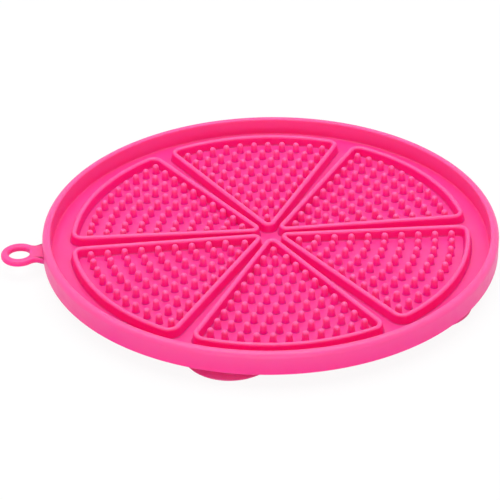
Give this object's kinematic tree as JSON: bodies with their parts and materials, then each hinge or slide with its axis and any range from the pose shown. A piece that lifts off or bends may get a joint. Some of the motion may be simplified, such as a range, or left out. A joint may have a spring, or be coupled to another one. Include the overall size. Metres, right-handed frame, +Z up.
{
  "type": "lick mat",
  "caption": "Round silicone lick mat for pets: wedge pockets filled with nubs inside a raised rim, with a hanging tab at the edge and suction cups underneath.",
  "frame": {"origin": "middle of the outline, tab included, on the surface that the suction cups stand on", "axes": "+Z up out of the pockets; the hanging tab points along -X; the plate's own axis is vertical at x = +9.15 mm"},
  "size_m": [0.2172, 0.199, 0.0165],
  "materials": {
    "silicone_mat": "smooth satin moulded silicone",
    "silicone_nubs": "smooth satin moulded silicone",
    "silicone_cups": "smooth satin moulded silicone, glossier at the lip"
  },
  "bodies": {
    "mat": {"base_plate": "silicone_mat", "rim": "silicone_mat", "pocket_wall_1": "silicone_mat", "pocket_wall_2": "silicone_mat", "pocket_wall_3": "silicone_mat", "pocket_wall_4": "silicone_mat", "pocket_wall_5": "silicone_mat", "pocket_wall_6": "silicone_mat", "nub_field_1": "silicone_nubs", "nub_field_2": "silicone_nubs", "nub_field_3": "silicone_nubs", "nub_field_4": "silicone_nubs", "nub_field_5": "silicone_nubs", "nub_field_6": "silicone_nubs", "hanging_tab": "silicone_mat", "cup_stem_1": "silicone_cups", "cup_stem_2": "silicone_cups", "cup_stem_3": "silicone_cups", "cup_stem_4": "silicone_cups", "cup_stem_5": "silicone_cups"},
    "cup_1": {"cup_skirt_1": "silicone_cups"},
    "cup_2": {"cup_skirt_2": "silicone_cups"},
    "cup_3": {"cup_skirt_3": "silicone_cups"},
    "cup_4": {"cup_skirt_4": "silicone_cups"},
    "cup_5": {"cup_skirt_5": "silicone_cups"}
  },
  "joints": [
    {"name": "cup_press_1", "type": "slide", "parent": "mat", "child": "cup_1", "axis": [0, 0, 1], "range_m": [0, 0.0028], "stiffness_N_per_m": 2500, "deforming": ["cup_skirt_1"]},
    {"name": "cup_press_2", "type": "slide", "parent": "mat", "child": "cup_2", "axis": [0, 0, 1], "range_m": [0, 0.0028], "stiffness_N_per_m": 2500, "deforming": ["cup_skirt_2"]},
    {"name": "cup_press_3", "type": "slide", "parent": "mat", "child": "cup_3", "axis": [0, 0, 1], "range_m": [0, 0.0028], "stiffness_N_per_m": 2500, "deforming": ["cup_skirt_3"]},
    {"name": "cup_press_4", "type": "slide", "parent": "mat", "child": "cup_4", "axis": [0, 0, 1], "range_m": [0, 0.0028], "stiffness_N_per_m": 2500, "deforming": ["cup_skirt_4"]},
    {"name": "cup_press_5", "type": "slide", "parent": "mat", "child": "cup_5", "axis": [0, 0, 1], "range_m": [0, 0.0028], "stiffness_N_per_m": 2500, "deforming": ["cup_skirt_5"]}
  ]
}
